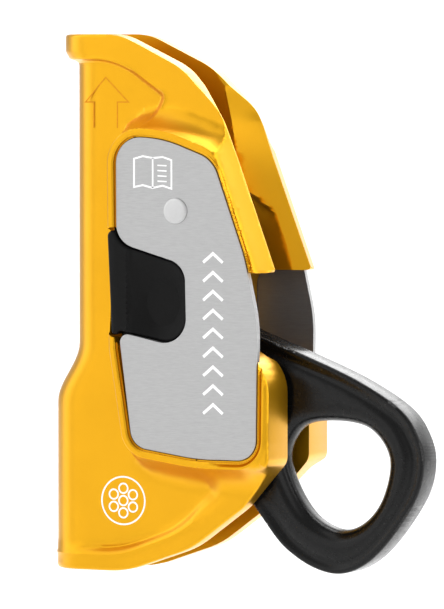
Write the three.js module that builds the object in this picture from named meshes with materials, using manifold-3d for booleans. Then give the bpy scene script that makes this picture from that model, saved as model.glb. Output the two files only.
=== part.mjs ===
// An openable cam-loaded rope clamp (ascender), in millimetres.
// +Z runs up the rope, +X points from the rope towards the cam lever, and Y runs across.
// The origin is on the rope's axis, level with the cam's axle at rest.
import * as THREE from "three";
import { mergeVertices } from "three/addons/utils/BufferGeometryUtils.js";
import Module from "manifold-3d";

const wasm = await Module();
wasm.setup();

// ---- Driving dimensions -------------------------------------------------------------------

const TOP = 83.7; // top of the channel
const BOTTOM = -60.5; // bottom of the channel
const CHANNEL_HALF = 7; // half the clear width between the wings
const PANEL_HALF = 10; // half the body's width at its recessed panels
const BAND_HALF = 11.5; // half the body's width at its top and bottom bands
const EDGE_HALF = 18.2; // half the width at the thick upper edge of the wings
const RIM_HALF = 19.9; // half the width over the rims round the side plates
const FAR = 70; // beyond the wings' free edges, for tools that cut right through

const GAP = 0.3; // running gap between neighbours
const FIT_GAP = 0.15; // gap round fixed pins

const PLATE_INNER = 17.3;
const PLATE_OUTER = 19.15;
const POCKET_FLOOR = 17;
const PLATE_GAP = 0.5; // gap round the plate's edge
const RIM_WIDTH = 2.3; // from the plate's edge to the outside of its rim
const FLANK_RUN = 3.5; // how far the boss's flank spreads down to the panel

const LINK_INNER = 7.3;
const LINK_OUTER = 9.3;
const LINK_ROOM = 9.6; // depth of the swing room for the links, from the middle
const CAVITY_FLOOR = 11; // floor of the hollow behind the plate
const BUTTON_TRAVEL = 2.8;
const BUTTON_INNER = 14.2;
const BUTTON_SHOULDER = 16.4;
const BUTTON_OUTER = 20;

const PIVOT = [26.8, 36.6]; // X and Z of the rivets that the links swing on
const AXLE = [29, 0]; // X and Z of the cam's axle
const LATCH = [19, 14]; // X and Z of the latch pins
const BUTTON_SPRING = [10.6, 16.5]; // X and Z of the button springs

const CARRIER_SWING = 55; // degrees that the links swing out
const RIVET_R = 3;
const RIVET_HEAD_R = 3.45;
const AXLE_R = 3.5;
const BUSH_R = 4.5;
const LATCH_R = 1.8;
const ARM_HALF = 5; // half the cam lever's thickness
const CAM_HALF = 6.2; // half the cam's width
const EYE_CHAMFER = 2.4; // rounding of the lever's edges

const SIDES = [
  ["front", -1],
  ["rear", 1],
];

// ---- Outlines, as corners [x, z, radius] ----------------------------------------------------

const WING = [
  [-25, TOP, 0],
  [6.5, TOP, 18],
  [25.5, 74.6, 20],
  [36.8, 62.8, 22],
  [52.6, 20.4, 0.8],
  [34, 20.4, 4],
  [34, 0.5, 4],
  [53.9, 0.5, 12],
  [53.9, -30, 4],
  [43.2, -42.3, 12],
  [28, -53.6, 26],
  [8, BOTTOM, 30],
  [-25, BOTTOM, 0],
];

// The field inside the top and bottom bands.
const FIELD = [
  [-30, 76.5, 0],
  [5.5, 76.5, 22],
  [27, 61.6, 12],
  [60, 40, 0],
  [60, -33, 0],
  [36.5, -38.5, 4],
  [24.5, -47.6, 25],
  [6, -54.3, 30],
  [-30, -54.3, 0],
];

// The plate's outside, with its thumb notch filled.
const PLATE_FULL = [
  [9.1, 56.3, 7],
  [22.5, 56, 18],
  [37.6, 50.3, 8.5],
  [46.9, 24.5, 40],
  [50.6, 7.5, 40],
  [50.2, -29.2, 5.5],
  [33, -29.2, 40],
  [13.9, -26.3, 5.5],
  [9.6, 4, 2],
];

// The notch's edge in the plate, from its lower left corner round to its upper left.
const PLATE_NOTCH = [
  [9.9, 4.3, 2],
  [29.9, 0, 6.5],
  [29.4, 22.3, 6],
  [9.2, 28.2, 6.5],
];

const PLATE = [...PLATE_FULL.slice(0, 8), ...PLATE_NOTCH];

const BUTTON_REACH = [
  [6.2, 31.7, 2],
  [31, 31.7, 1],
  [31, -3, 1],
  [13, -3, 1],
  [12, 3.2, 0.5],
  [7.6, 3.2, 1.5],
];

const BUTTON_FLANGE = [
  [8.4, 29, 3],
  [31.4, 25.8, 7],
  [31.6, -3.3, 7],
  [9.6, 1, 2],
];

// ---- Tools for shapes -----------------------------------------------------------------------

function solidOf(geometry) {
  const bare = geometry.clone();
  bare.deleteAttribute("normal");
  bare.deleteAttribute("uv");
  const merged = mergeVertices(bare, 1e-4);
  const mesh = new wasm.Mesh({
    numProp: 3,
    vertProperties: merged.attributes.position.array,
    triVerts: new Uint32Array(merged.index.array),
  });
  return new wasm.Manifold(mesh);
}

function geometryOf(solid) {
  const mesh = solid.getMesh();
  const geometry = new THREE.BufferGeometry();
  geometry.setAttribute("position", new THREE.BufferAttribute(mesh.vertProperties, 3));
  geometry.setIndex(new THREE.BufferAttribute(mesh.triVerts, 1));
  const flat = geometry.toNonIndexed();
  flat.computeVertexNormals();
  return flat;
}

function joined(...solids) {
  return solids.reduce((sum, one) => sum.add(one));
}

// A Shape through the corners, each rounded with an arc of its own radius.
function rounded(corners) {
  const shape = new THREE.Shape();
  corners.forEach(([x, z, radius], i) => {
    const corner = new THREE.Vector2(x, z);
    const before = new THREE.Vector2(...corners.at(i - 1).slice(0, 2));
    const after = new THREE.Vector2(...corners[(i + 1) % corners.length].slice(0, 2));
    if (radius === 0) {
      i === 0 ? shape.moveTo(x, z) : shape.lineTo(x, z);
      return;
    }
    const a = before.sub(corner).normalize();
    const b = after.sub(corner).normalize();
    const half = Math.acos(a.dot(b)) / 2;
    const reach = radius / Math.tan(half);
    const middle = a.clone().add(b).normalize();
    const centre = corner.clone().addScaledVector(middle, radius / Math.sin(half));
    const start = corner.clone().addScaledVector(a, reach);
    const end = corner.clone().addScaledVector(b, reach);
    i === 0 ? shape.moveTo(start.x, start.y) : shape.lineTo(start.x, start.y);
    const from = Math.atan2(start.y - centre.y, start.x - centre.x);
    const to = Math.atan2(end.y - centre.y, end.x - centre.x);
    shape.absarc(centre.x, centre.y, radius, from, to, a.cross(b) > 0);
  });
  return shape;
}

// The corners of an outline moved outwards by a distance; the corners run clockwise.
function grown(corners, distance) {
  const lines = corners.map(([x, z], i) => {
    const next = corners[(i + 1) % corners.length];
    const along = new THREE.Vector2(next[0] - x, next[1] - z).normalize();
    const out = new THREE.Vector2(-along.y, along.x);
    return { point: new THREE.Vector2(x, z).addScaledVector(out, distance), along };
  });
  return corners.map(([, , radius], i) => {
    const before = lines.at(i - 1);
    const line = lines[i];
    const turn = before.along.cross(line.along);
    const step = line.point.clone().sub(before.point).cross(line.along) / turn;
    const corner = before.point.clone().addScaledVector(before.along, step);
    return [corner.x, corner.y, Math.max(radius - Math.sign(turn) * distance, 0.1)];
  });
}

// A Shape in X and Z, extruded from one Y to another, with an optional chamfer. The shape is the
// widest section, or the narrowest where offset is 0.
function prism(shape, low, high, options = {}) {
  const { steps = 2, chamfer = 0, run = chamfer, offset = -run, rounds = 1 } = options;
  const geometry = new THREE.ExtrudeGeometry(shape, {
    depth: high - low - 2 * chamfer,
    curveSegments: steps,
    bevelEnabled: chamfer > 0,
    bevelThickness: chamfer,
    bevelSize: run,
    bevelOffset: offset,
    bevelSegments: rounds,
  });
  geometry.rotateX(Math.PI / 2);
  geometry.translate(0, high - chamfer, 0);
  return solidOf(geometry);
}

// A round bar along Y.
function bar([x, z], radius, low, high, sides = 20) {
  const geometry = new THREE.CylinderGeometry(radius, radius, high - low, sides);
  geometry.translate(x, (low + high) / 2, z);
  return solidOf(geometry);
}

function ring(place, inner, outer, low, high, sides = 20) {
  return bar(place, outer, low, high, sides).subtract(bar(place, inner, low - 1, high + 1, sides));
}

// A closed sector of a disc about the pivot, as angles from straight down towards +X.
function swept([x, z], radius, fromDegrees, toDegrees) {
  const shape = new THREE.Shape();
  const start = THREE.MathUtils.degToRad(fromDegrees - 90);
  const end = THREE.MathUtils.degToRad(toDegrees - 90);
  shape.moveTo(x, z);
  shape.lineTo(x + radius * Math.cos(start), z + radius * Math.sin(start));
  shape.absarc(x, z, radius, start, end, false);
  return shape;
}

// A bar with round ends of two sizes.
function strap(a, b, radiusA, radiusB) {
  const from = new THREE.Vector2(...a);
  const to = new THREE.Vector2(...b);
  const heading = Math.atan2(to.y - from.y, to.x - from.x);
  const lean = Math.acos((radiusA - radiusB) / from.distanceTo(to));
  const shape = new THREE.Shape();
  shape.absarc(from.x, from.y, radiusA, heading + lean, heading - lean + 2 * Math.PI, false);
  shape.absarc(to.x, to.y, radiusB, heading - lean, heading + lean, false);
  return shape;
}

// A wire coil about an axis along Y through a place.
function coil(place, meanRadius, wireRadius, low, turns, pitch, stepsPerTurn = 12) {
  const steps = Math.round(turns * stepsPerTurn);
  const points = [];
  for (let i = 0; i <= steps; i++) {
    const angle = (2 * Math.PI * i) / stepsPerTurn;
    const y = low + wireRadius + (pitch * i) / stepsPerTurn;
    const x = place[0] + meanRadius * Math.cos(angle);
    points.push(new THREE.Vector3(x, y, place[1] + meanRadius * Math.sin(angle)));
  }
  const section = new THREE.Shape();
  section.absarc(0, 0, wireRadius, 0, 2 * Math.PI, false);
  const geometry = new THREE.ExtrudeGeometry(section, {
    steps,
    curveSegments: 3,
    extrudePath: new THREE.CatmullRomCurve3(points),
  });
  return solidOf(geometry);
}

// A solid through level rings, each with the same number of points running anticlockwise.
function loft(rings) {
  const count = rings[0].length;
  const positions = rings.flat().flatMap((point) => point.toArray());
  const faces = [];
  for (let level = 0; level + 1 < rings.length; level++) {
    for (let i = 0; i < count; i++) {
      const a = level * count + i;
      const b = level * count + ((i + 1) % count);
      faces.push(a, b, b + count, a, b + count, a + count);
    }
  }
  const flat = rings[0].map((point) => new THREE.Vector2(point.x, point.y));
  const last = (rings.length - 1) * count;
  for (const [a, b, c] of THREE.ShapeUtils.triangulateShape(flat, [])) {
    faces.push(a, c, b);
    faces.push(last + a, last + b, last + c);
  }
  const geometry = new THREE.BufferGeometry();
  geometry.setAttribute("position", new THREE.Float32BufferAttribute(positions, 3));
  geometry.setIndex(faces);
  return solidOf(geometry);
}

// A U with a round back: stations are [z, x of the back's centre, radius].
function roundBacked(stations, arcSteps = 12) {
  const rings = stations.map(([z, centre, radius]) => {
    const ringPoints = [new THREE.Vector3(FAR, radius, z)];
    for (let i = 0; i <= arcSteps; i++) {
      const angle = Math.PI / 2 + (Math.PI * i) / arcSteps;
      const x = centre + radius * Math.cos(angle);
      ringPoints.push(new THREE.Vector3(x, radius * Math.sin(angle), z));
    }
    ringPoints.push(new THREE.Vector3(FAR, -radius, z));
    return ringPoints;
  });
  return loft(rings);
}

// ---- Materials ------------------------------------------------------------------------------

function material(color, roughness, metalness) {
  return new THREE.MeshStandardMaterial({ color, roughness, metalness });
}

const gold = () => material(0xf0a90a, 0.35, 0.9);
const steel = () => material(0xbcbcbc, 0.35, 1);
const paleSteel = () => material(0xd9d9d9, 0.3, 1);
const blackMetal = () => material(0x141414, 0.4, 0.6);
const blackPlastic = () => material(0x0c0c0c, 0.5, 0);
const palePlastic = () => material(0xd8d4c8, 0.5, 0);

// ---- The channel body -----------------------------------------------------------------------

const wingShape = rounded(WING);

function outerSkin() {
  const neck = roundBacked([
    [BOTTOM - 1, -6.3, PANEL_HALF + 0.2],
    [-15, -6.3, PANEL_HALF + 0.2],
    [-10, -4.4, PANEL_HALF + 0.15],
    [-4, -0.9, PANEL_HALF],
    [0, 0, PANEL_HALF],
    [TOP + 1, 0, PANEL_HALF],
  ]);
  return neck.intersect(prism(wingShape, -FAR, FAR));
}

function bands() {
  const wide = roundBacked([
    [BOTTOM - 1, -5, BAND_HALF],
    [0, -5, BAND_HALF],
    [1, -2.4, BAND_HALF],
    [TOP + 1, -2.4, BAND_HALF],
  ]);
  return wide.intersect(prism(wingShape, -FAR, FAR)).subtract(prism(rounded(FIELD), -FAR, FAR));
}

// The raised boss on both sides, with sloping flanks.
function boss() {
  const outline = rounded(grown(PLATE_FULL, RIM_WIDTH + FLANK_RUN));
  const flanks = { chamfer: RIM_HALF - PANEL_HALF, run: FLANK_RUN };
  const tapered = prism(outline, -RIM_HALF, RIM_HALF, flanks);
  return tapered.intersect(prism(wingShape, -FAR, FAR));
}

// The thick upper edge of the wings, ramped up from the top band.
function thickEdge() {
  const start = new THREE.Vector3(36.8, 0, 62.8);
  const end = new THREE.Vector3(52.6, 0, 20.4);
  const along = end.clone().sub(start).normalize();
  const across = new THREE.Vector3(0, 1, 0);
  const outwards = along.clone().cross(across);
  const length = end.distanceTo(start);
  const side = [
    [-4, PANEL_HALF],
    [18, EDGE_HALF],
    [length, EDGE_HALF],
  ];
  const mirrored = side.map(([s, y]) => [s, -y]).reverse();
  const profile = new THREE.Shape([...side, ...mirrored].map(([s, y]) => new THREE.Vector2(s, y)));
  const block = new THREE.ExtrudeGeometry(profile, { depth: 14, bevelEnabled: false });
  block.translate(0, 0, -12);
  block.applyMatrix4(new THREE.Matrix4().makeBasis(along, across, outwards).setPosition(start));
  return solidOf(block).intersect(prism(wingShape, -FAR, FAR));
}

// The flare that opens the upper mouth between the wings.
function mouthFlare() {
  const top = new THREE.Vector3(36.8, 0, 62.8);
  const bottom = new THREE.Vector3(52.6, 0, 20.4);
  const up = top.clone().sub(bottom).normalize();
  const across = new THREE.Vector3(0, 1, 0);
  const outwards = across.clone().cross(up);
  const wedge = [
    [-8, -CHANNEL_HALF],
    [1.5, -12.7],
    [1.5, 12.7],
    [-8, CHANNEL_HALF],
  ];
  const profile = new THREE.Shape(wedge.map(([s, y]) => new THREE.Vector2(s, y)));
  const block = new THREE.ExtrudeGeometry(profile, { depth: 75, bevelEnabled: false });
  block.applyMatrix4(new THREE.Matrix4().makeBasis(outwards, across, up).setPosition(bottom));
  return solidOf(block);
}

function ropeChannel() {
  return roundBacked([
    [BOTTOM - 2, -5.8, CHANNEL_HALF],
    [-17, -5.3, CHANNEL_HALF],
    [-4, 0, CHANNEL_HALF],
    [TOP + 2, 0, CHANNEL_HALF],
  ]);
}

// A place turned about the pivot as the links swing out.
function swungOut([x, z], degrees) {
  const arm = new THREE.Vector2(x - PIVOT[0], z - PIVOT[1]);
  arm.rotateAround(new THREE.Vector2(0, 0), THREE.MathUtils.degToRad(degrees));
  return [PIVOT[0] + arm.x, PIVOT[1] + arm.y];
}

// The shallow room in both wings that the links swing through.
function linkRoom() {
  const outline = (degrees) => [
    strap(PIVOT, swungOut(AXLE, degrees), 7, 7.5),
    strap(swungOut(AXLE, degrees), swungOut(LATCH, degrees), 7.5, 5.3),
    strap(swungOut(LATCH, degrees), PIVOT, 5.3, 7),
  ];
  const sectors = [swept(PIVOT, 44.4, -8, 70), swept(PIVOT, 29.5, -31, 70)];
  const shapes = [...sectors, ...outline(0), ...outline(CARRIER_SWING)];
  return joined(...shapes.map((shape) => prism(shape, -LINK_ROOM, LINK_ROOM, { steps: 7 })));
}

// What is cut from one side behind the plate and round the button.
function sidePocket() {
  const pocket = prism(rounded(grown(PLATE_FULL, PLATE_GAP)), POCKET_FLOOR, RIM_HALF + 1);
  const hollow = prism(rounded(grown(PLATE_FULL, -3.2)), CAVITY_FLOOR, POCKET_FLOOR + 1);
  const column = bar(PIVOT, 6, CAVITY_FLOOR - 1, POCKET_FLOOR + 2);
  const shoulder = BUTTON_SHOULDER - BUTTON_TRAVEL - GAP;
  const reach = prism(rounded(grown(BUTTON_REACH, 0.4)), shoulder, RIM_HALF + 1);
  const flange = prism(rounded(grown(BUTTON_FLANGE, 0.5)), CAVITY_FLOOR, POCKET_FLOOR + 1);
  const springSeat = bar(BUTTON_SPRING, 3.1, 8.9, POCKET_FLOOR);
  const latchHole = bar(LATCH, LATCH_R + 0.5, LINK_ROOM - 1, POCKET_FLOOR);
  const rivetHole = bar(PIVOT, RIVET_R + FIT_GAP, CHANNEL_HALF - 1, RIM_HALF);
  return joined(pocket, hollow.subtract(column), reach, flange, springSeat, latchHole, rivetHole);
}

function channelBody() {
  const outside = joined(outerSkin(), bands(), boss(), thickEdge());
  const inside = joined(ropeChannel(), mouthFlare(), linkRoom(), sidePocket(), sidePocket().mirror([0, 1, 0]));
  return outside.subtract(inside);
}

// ---- Pieces on one side, made for +Y ----------------------------------------------------------

function sidePlate() {
  const rivetHole = bar(PIVOT, RIVET_R + FIT_GAP, PLATE_INNER - 1, PLATE_OUTER + 1);
  return prism(rounded(PLATE), PLATE_INNER, PLATE_OUTER).subtract(rivetHole);
}

function pivotRivet() {
  return joined(
    bar(PIVOT, RIVET_R, 5.2, PLATE_OUTER + 0.5),
    bar(PIVOT, RIVET_HEAD_R, PLATE_OUTER + 0.1, RIM_HALF - 0.1),
    bar(PIVOT, RIVET_R + 1.4, 5.2, 6.1),
  );
}

function pivotWasher() {
  return ring(PIVOT, RIVET_R + FIT_GAP, 5.5, 6.25, LINK_INNER - 0.15);
}

function swingLink() {
  const blade = joined(
    prism(strap(PIVOT, AXLE, 6.5, 7), LINK_INNER, LINK_OUTER, { steps: 5 }),
    prism(strap(AXLE, LATCH, 7, 4.8), LINK_INNER, LINK_OUTER, { steps: 5 }),
    prism(strap(LATCH, PIVOT, 4.8, 6.5), LINK_INNER, LINK_OUTER, { steps: 5 }),
  );
  const holes = joined(
    bar(PIVOT, RIVET_R + GAP, 0, 20),
    bar(AXLE, AXLE_R + FIT_GAP, 0, 20),
    bar(LATCH, LATCH_R + 0.8, 0, 20),
  );
  return blade.subtract(holes);
}

function camWasher() {
  return ring(AXLE, AXLE_R + FIT_GAP, 6.2, CAM_HALF + 0.25, LINK_INNER - 0.25);
}

function camBush() {
  return ring(AXLE, AXLE_R + GAP, BUSH_R, 0.2, CAM_HALF + 0.05);
}

function camSpring() {
  const coils = coil(AXLE, 7.2, 0.5, 3.75, 2, 1.15);
  const leg = bar([AXLE[0] + 7.2, AXLE[1]], 0.4, 6, LINK_INNER - GAP, 8);
  return coils.add(leg);
}

function button() {
  const reach = prism(rounded(BUTTON_REACH), BUTTON_SHOULDER, BUTTON_OUTER);
  const plateRoom = prism(rounded(grown(PLATE, 0.4)), 0, FAR);
  const top = reach.subtract(plateRoom);
  const flange = prism(rounded(BUTTON_FLANGE), BUTTON_INNER, BUTTON_SHOULDER + 0.2);
  const scoopShape = new THREE.SphereGeometry(1, 20, 12);
  scoopShape.scale(10.5, 3.6, 14);
  scoopShape.translate(21.5, BUTTON_OUTER, 12.5);
  const pinHole = bar(LATCH, LATCH_R + FIT_GAP, 0, 15.6);
  const springHole = bar(BUTTON_SPRING, 3, 0, 15.9);
  return top.add(flange).subtract(joined(solidOf(scoopShape), pinHole, springHole));
}

function latchPin() {
  return bar(LATCH, LATCH_R, LINK_OUTER + 0.45, 15.45, 24);
}

function buttonSpring() {
  return coil(BUTTON_SPRING, 2.2, 0.35, 9.05, 3.9, 0.8, 10);
}

// ---- The cam lever and its axle ---------------------------------------------------------------

// Points [x, z] of the lever's eye, outside and inside, from its top edge round to its lower neck.
const EYE_OUTSIDE = [
  [58.1, -1.8],
  [73.3, -8.2],
  [85.5, -15.6],
  [90.7, -23],
  [92.1, -29.8],
  [90.1, -38.4],
  [83, -49.2],
  [75.7, -56.4],
  [67.9, -59.5],
  [59.7, -57.9],
  [51.6, -52.8],
  [46, -46.1],
];
const EYE_INSIDE = [
  [65.9, -19.1],
  [75.6, -21.1],
  [81, -28.7],
  [79.1, -39],
  [73.9, -45.7],
  [67.2, -47.9],
  [59.6, -44.4],
  [53.9, -36.3],
  [51.8, -28],
  [56.2, -20.7],
];

// The cam's profile: its radius about the axle for angles up from -X.
function camPoint(degrees) {
  const angle = THREE.MathUtils.degToRad(degrees);
  const radius = THREE.MathUtils.lerp(29, 16.5, THREE.MathUtils.smoothstep(degrees, -22, 62));
  return new THREE.Vector2(AXLE[0] - radius * Math.cos(angle), AXLE[1] + radius * Math.sin(angle));
}

function leverShape() {
  const shape = new THREE.Shape();
  shape.moveTo(30, 10.3);
  shape.lineTo(42, 4.2);
  shape.splineThru(EYE_OUTSIDE.map((point) => new THREE.Vector2(...point)));
  shape.lineTo(40, -38);
  shape.lineTo(22, -19);
  shape.lineTo(16, 6);
  return shape;
}

// The attachment eye's opening, chamfered at both faces.
function eyeOpening() {
  const corners = [...EYE_INSIDE, EYE_INSIDE[0]].map((point) => new THREE.Vector2(...point));
  const shape = new THREE.Shape(new THREE.SplineCurve(corners).getSpacedPoints(26).slice(0, -1));
  const widening = { chamfer: EYE_CHAMFER, offset: 0 };
  const mouth = prism(shape, ARM_HALF - EYE_CHAMFER, ARM_HALF + EYE_CHAMFER + 1, widening);
  return joined(prism(shape, -FAR, FAR), mouth, mouth.mirror([0, 1, 0]));
}

function camShape() {
  const shape = new THREE.Shape();
  shape.absarc(AXLE[0], AXLE[1], 10.3, 1.9, -1.1, true);
  shape.lineTo(16, -19);
  for (let degrees = -34; degrees <= 62; degrees += 6) {
    const point = camPoint(degrees);
    shape.lineTo(point.x, point.y);
  }
  return shape;
}

// Cross grooves that make the ribs of the cam's face.
function camGrooves() {
  const grooves = [];
  for (let degrees = -26; degrees <= 40; degrees += 6) {
    const point = camPoint(degrees);
    grooves.push(bar([point.x, point.y], 0.8, -CAM_HALF - 1, CAM_HALF + 1, 8));
  }
  return joined(...grooves);
}

function camArm() {
  const rounding = { steps: 3, chamfer: EYE_CHAMFER, rounds: 2 };
  const lever = prism(leverShape(), -ARM_HALF, ARM_HALF, rounding);
  const cam = prism(camShape(), -CAM_HALF, CAM_HALF, { steps: 4 });
  const bore = bar(AXLE, BUSH_R + FIT_GAP, -FAR, FAR);
  const seat = ring(AXLE, 6.2, 8.7, CAM_HALF - 2.7, CAM_HALF + 1);
  const seats = seat.add(seat.mirror([0, 1, 0]));
  return lever.add(cam).subtract(joined(bore, seats, camGrooves(), eyeOpening()));
}

function camAxle() {
  return bar(AXLE, AXLE_R, -LINK_OUTER, LINK_OUTER);
}

// ---- Assembly ---------------------------------------------------------------------------------

const assembly = new THREE.Group();

function place(name, solid, look, side = 1) {
  const mesh = new THREE.Mesh(geometryOf(solid), look);
  mesh.name = name;
  mesh.scale.y = side;
  assembly.add(mesh);
}

place("channel_body", channelBody(), gold());
place("cam_axle", camAxle(), paleSteel());
place("cam_arm", camArm(), blackMetal());
for (const [word, side] of SIDES) {
  place(`${word}_side_plate`, sidePlate(), steel(), side);
  place(`${word}_pivot_rivet`, pivotRivet(), paleSteel(), side);
  place(`${word}_pivot_washer`, pivotWasher(), palePlastic(), side);
  place(`${word}_link`, swingLink(), steel(), side);
  place(`${word}_cam_washer`, camWasher(), palePlastic(), side);
  place(`${word}_cam_bush`, camBush(), palePlastic(), side);
  place(`${word}_cam_spring`, camSpring(), paleSteel(), side);
  place(`${word}_button`, button(), blackPlastic(), side);
  place(`${word}_latch_pin`, latchPin(), paleSteel(), side);
  place(`${word}_button_spring`, buttonSpring(), paleSteel(), side);
}

export default assembly;
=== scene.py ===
"""Looks of an openable cam-loaded rope clamp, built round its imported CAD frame.

Outlines are in millimetres in the frame's X and Z, and meshes are written in metres.
"""

import math

import bmesh
import bpy
import numpy as np
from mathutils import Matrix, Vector
from mathutils.geometry import delaunay_2d_cdt


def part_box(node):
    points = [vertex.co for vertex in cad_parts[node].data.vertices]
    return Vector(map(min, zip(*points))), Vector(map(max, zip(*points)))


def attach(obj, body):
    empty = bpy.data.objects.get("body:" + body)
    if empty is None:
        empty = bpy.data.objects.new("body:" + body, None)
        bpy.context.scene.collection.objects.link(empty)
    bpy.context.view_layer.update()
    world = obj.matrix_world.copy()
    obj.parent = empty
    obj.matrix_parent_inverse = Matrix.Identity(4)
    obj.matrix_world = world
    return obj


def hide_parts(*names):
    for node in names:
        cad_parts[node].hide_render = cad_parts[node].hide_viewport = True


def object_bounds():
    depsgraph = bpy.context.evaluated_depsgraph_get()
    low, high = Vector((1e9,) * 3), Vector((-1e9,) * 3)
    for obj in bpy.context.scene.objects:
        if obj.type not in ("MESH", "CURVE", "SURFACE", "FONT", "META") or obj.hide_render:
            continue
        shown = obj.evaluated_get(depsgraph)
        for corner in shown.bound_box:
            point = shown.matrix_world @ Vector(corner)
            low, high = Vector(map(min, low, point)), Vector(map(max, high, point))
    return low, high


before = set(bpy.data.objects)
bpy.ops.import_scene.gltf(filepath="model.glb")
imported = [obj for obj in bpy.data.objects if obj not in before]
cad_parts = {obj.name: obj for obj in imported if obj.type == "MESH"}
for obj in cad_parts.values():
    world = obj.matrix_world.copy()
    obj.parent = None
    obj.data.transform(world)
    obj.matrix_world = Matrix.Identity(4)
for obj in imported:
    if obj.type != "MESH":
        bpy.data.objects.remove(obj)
cad_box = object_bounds()

MM = 0.001


def node_box(name):
    """Lowest and highest corner of a CAD node, in millimetres."""
    low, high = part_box(name)
    return np.array(low) / MM, np.array(high) / MM


BODY_LOW, BODY_HIGH = node_box("channel_body")
PLATE_LOW, PLATE_HIGH = node_box("rear_side_plate")
RIVET_LOW, RIVET_HIGH = node_box("rear_pivot_rivet")
BUTTON_LOW, BUTTON_HIGH = node_box("rear_button")
ARM_HIGH = node_box("cam_arm")[1]
AXLE_LOW, AXLE_HIGH = node_box("cam_axle")

TOP = BODY_HIGH[2]
BOTTOM = BODY_LOW[2]
RIM_HALF = BODY_HIGH[1]
CHANNEL_HALF = 7.0
PANEL_HALF = 10.0
BAND_HALF = 11.5
EDGE_HALF = 18.2  # at the facet along the upper free edge
BACK_SPAN = 16.0
PLATE_INNER = PLATE_LOW[1]
PLATE_OUTER = PLATE_HIGH[1]
POCKET_FLOOR = PLATE_INNER - 0.3
LINK_ROOM = 9.6
BUTTON_ROOM = 11.0
BUTTON_INNER = BUTTON_LOW[1]
BUTTON_OUTER = BUTTON_HIGH[1]
PIVOT = (RIVET_LOW + RIVET_HIGH)[[0, 2]] / 2
AXLE = (AXLE_LOW + AXLE_HIGH)[[0, 2]] / 2
LATCH = np.array([19.0, 14.0])
LATCH_HOLE = 2.3
BUTTON_SPRING = np.array([10.6, 16.5])
SPRING_HOLE = 3.0
SPRING_HOLE_FLOOR = 15.9
SPRING_SEAT = 3.1
SPRING_SEAT_FLOOR = 8.9
ARM_HALF = 5.0
CAM_HALF = ARM_HIGH[1]
SWING = 55.0

# Outlines, as corners [x, z, radius], clockwise.
WING = [
    [-40, TOP, 0],
    [6.5, TOP, 18],
    [25.5, 74.6, 20],
    [36.8, 62.8, 22],
    [52.6, 20.4, 0.8],
    [34, 20.4, 4],
    [34, 0.5, 4],
    [53.9, 0.5, 12],
    [53.9, -30.0, 4],
    [43.2, -42.3, 12],
    [28.0, -53.6, 26],
    [8.0, BOTTOM, 30],
    [-40, BOTTOM, 0],
]
FIELD = [
    [-60, 76.5, 0],
    [5.5, 76.5, 22],
    [19.2, 67.0, 1.2],
    [13, 52, 0],
    [30, 0, 0],
    [33, -30, 0],
    [34.8, -38.5, 2.5],
    [24.5, -47.6, 25],
    [6, -54.3, 30],
    [-60, -54.3, 0],
]
PLATE_FULL = [
    [9.1, 56.3, 7],
    [22.5, 56.0, 35],
    [37.6, 50.3, 8.5],
    [46.9, 24.5, 50],
    [50.6, 7.5, 40],
    [50.2, -29.2, 5.5],
    [33, -29.2, 60],
    [13.9, -26.3, 5.5],
    [9.7, 0, 0],
]
THUMB_NOTCH = [
    [9.9, 4.3, 2.2],
    [29.9, 0.0, 6.5],
    [29.4, 22.3, 6],
    [9.2, 28.2, 6.5],
]
PLATE = PLATE_FULL[:8] + THUMB_NOTCH
BUTTON_FACE = [
    [6.6, 31.3, 1.6],
    [8.7, 31.3, 0.3],
    [8.9, 27.9, 6.6],
    [29.0, 22.0, 5.7],
    [29.5, 0.4, 6.1],
    [10.4, 4.6, 0.8],
    [9.5, 3.6, 0.3],
    [8.0, 3.6, 0.8],
]
BUTTON_REACH = [
    [6.2, 31.7, 2],
    [31, 31.7, 1],
    [31, -3, 1],
    [13, -3, 1],
    [12, 3.2, 0.5],
    [7.6, 3.2, 1.5],
]
BUTTON_FLANGE = [
    [8.4, 29, 3],
    [31.4, 25.8, 7],
    [31.6, -3.3, 7],
    [9.6, 1, 2],
]
EYE_OUTSIDE = [
    [58.1, -1.8],
    [73.3, -8.2],
    [85.5, -15.6],
    [90.7, -23],
    [92.1, -29.8],
    [90.1, -38.4],
    [83, -49.2],
    [75.7, -56.4],
    [67.9, -59.5],
    [59.7, -57.9],
    [51.6, -52.8],
    [46, -46.1],
]
EYE_INSIDE = [
    [65.9, -19.1],
    [75.6, -21.1],
    [81, -28.7],
    [79.1, -39],
    [73.9, -45.7],
    [67.2, -47.9],
    [59.6, -44.4],
    [53.9, -36.3],
    [51.8, -28],
    [56.2, -20.7],
]


# ---- Tools for outlines -------------------------------------------------------------------


def smooth(low, high, value):
    """0 below low, 1 above high, and a smooth step between them."""
    t = np.clip((np.asarray(value, float) - low) / (high - low), 0, 1)
    return t * t * (3 - 2 * t)


def mix(a, b, share):
    return a + (b - a) * share


def lower(a, b, soft=0.1):
    """The smaller of two heights, with a soft joint between them."""
    return 0.5 * (a + b - np.sqrt((a - b) ** 2 + soft**2))


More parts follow.
